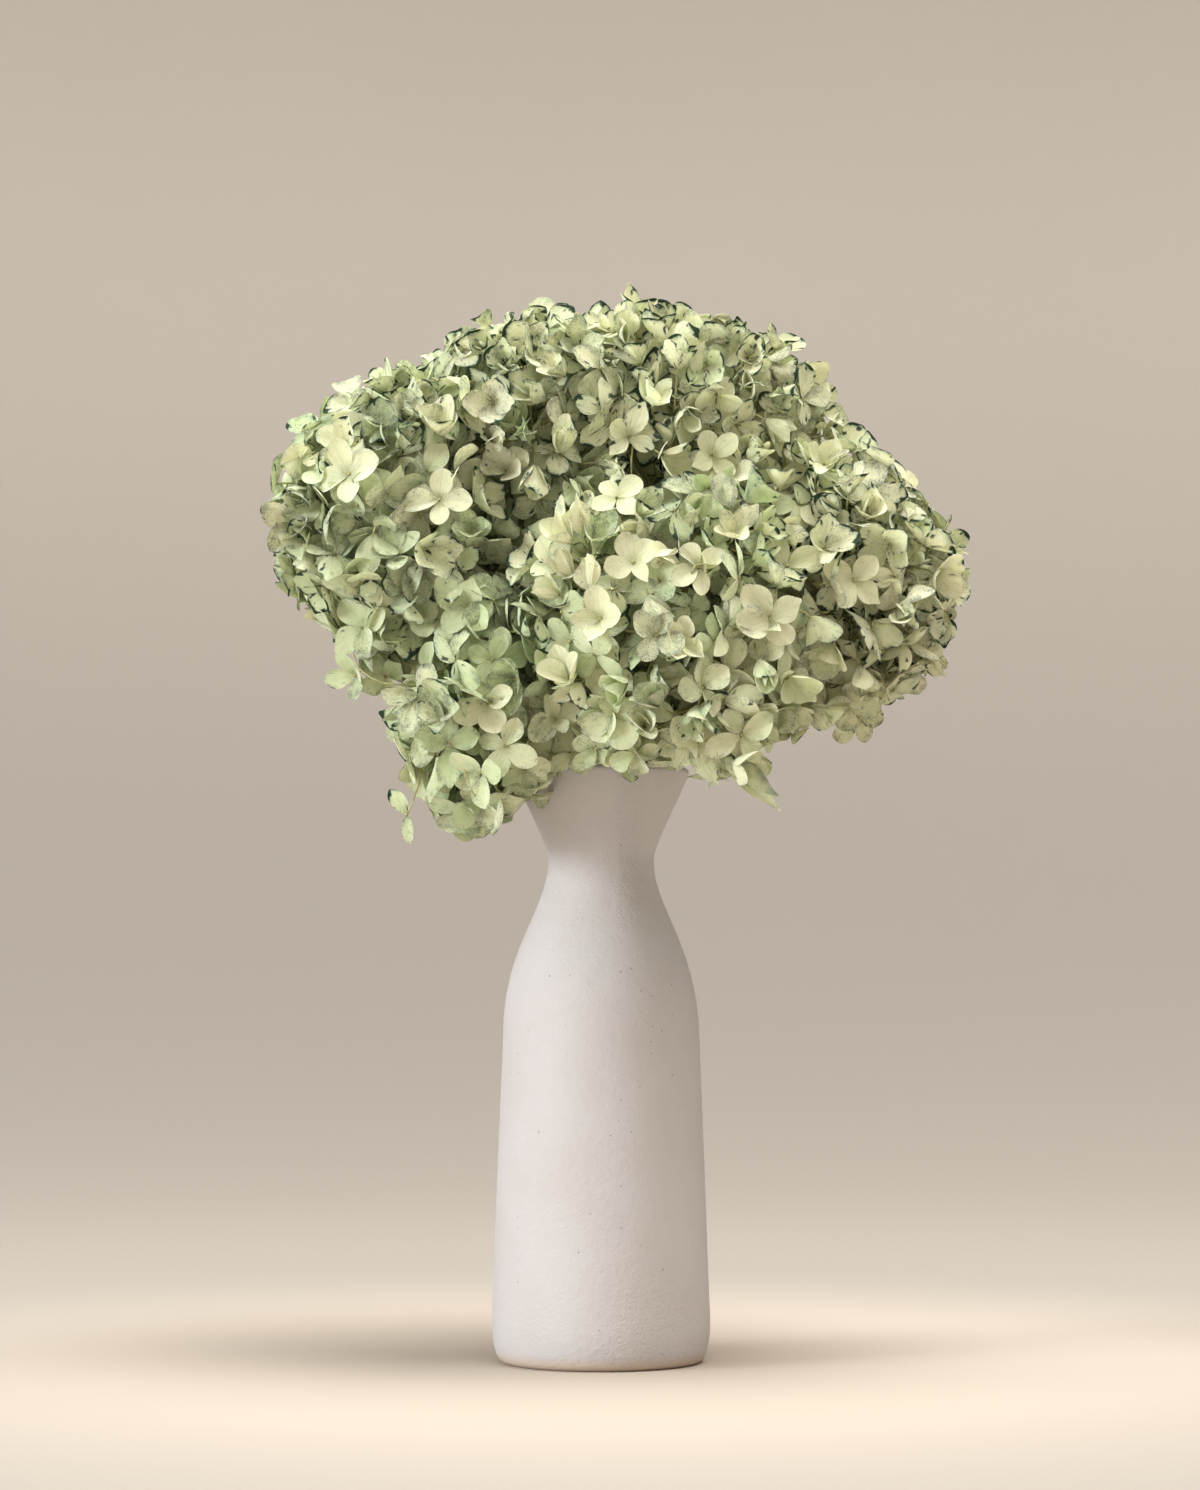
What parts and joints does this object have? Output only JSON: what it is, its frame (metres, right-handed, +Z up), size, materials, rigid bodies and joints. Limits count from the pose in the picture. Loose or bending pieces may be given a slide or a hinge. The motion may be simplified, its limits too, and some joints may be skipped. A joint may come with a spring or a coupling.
{
  "type": "hydrangeas in a vase",
  "caption": "Full bunch of dried hydrangea heads, round and dense with four-petalled florets, on woody stems in a tall ceramic bottle vase with a narrow neck and a flared lip.",
  "frame": {"origin": "middle of the vase's flat underside, on the surface it stands on", "axes": "+Z up along the vase's axis, the bouquet's front faces -Y, +X is the bouquet's right as seen from the front"},
  "size_m": [0.333, 0.2282, 0.5076],
  "materials": {
    "vase": "matte",
    "sepals": "matte",
    "bark": "matte"
  },
  "bodies": {
    "root": {"vase": "vase", "head_left": "sepals", "head_top_left": "sepals", "head_top_right": "sepals", "head_right": "sepals", "head_front": "sepals", "head_low_left": "sepals", "head_back_left": "sepals", "head_back_right": "sepals", "stem_left": "bark", "stem_top_left": "bark", "stem_top_right": "bark", "stem_right": "bark", "stem_front": "bark", "stem_low_left": "bark", "stem_back_left": "bark", "stem_back_right": "bark"}
  },
  "joints": []
}
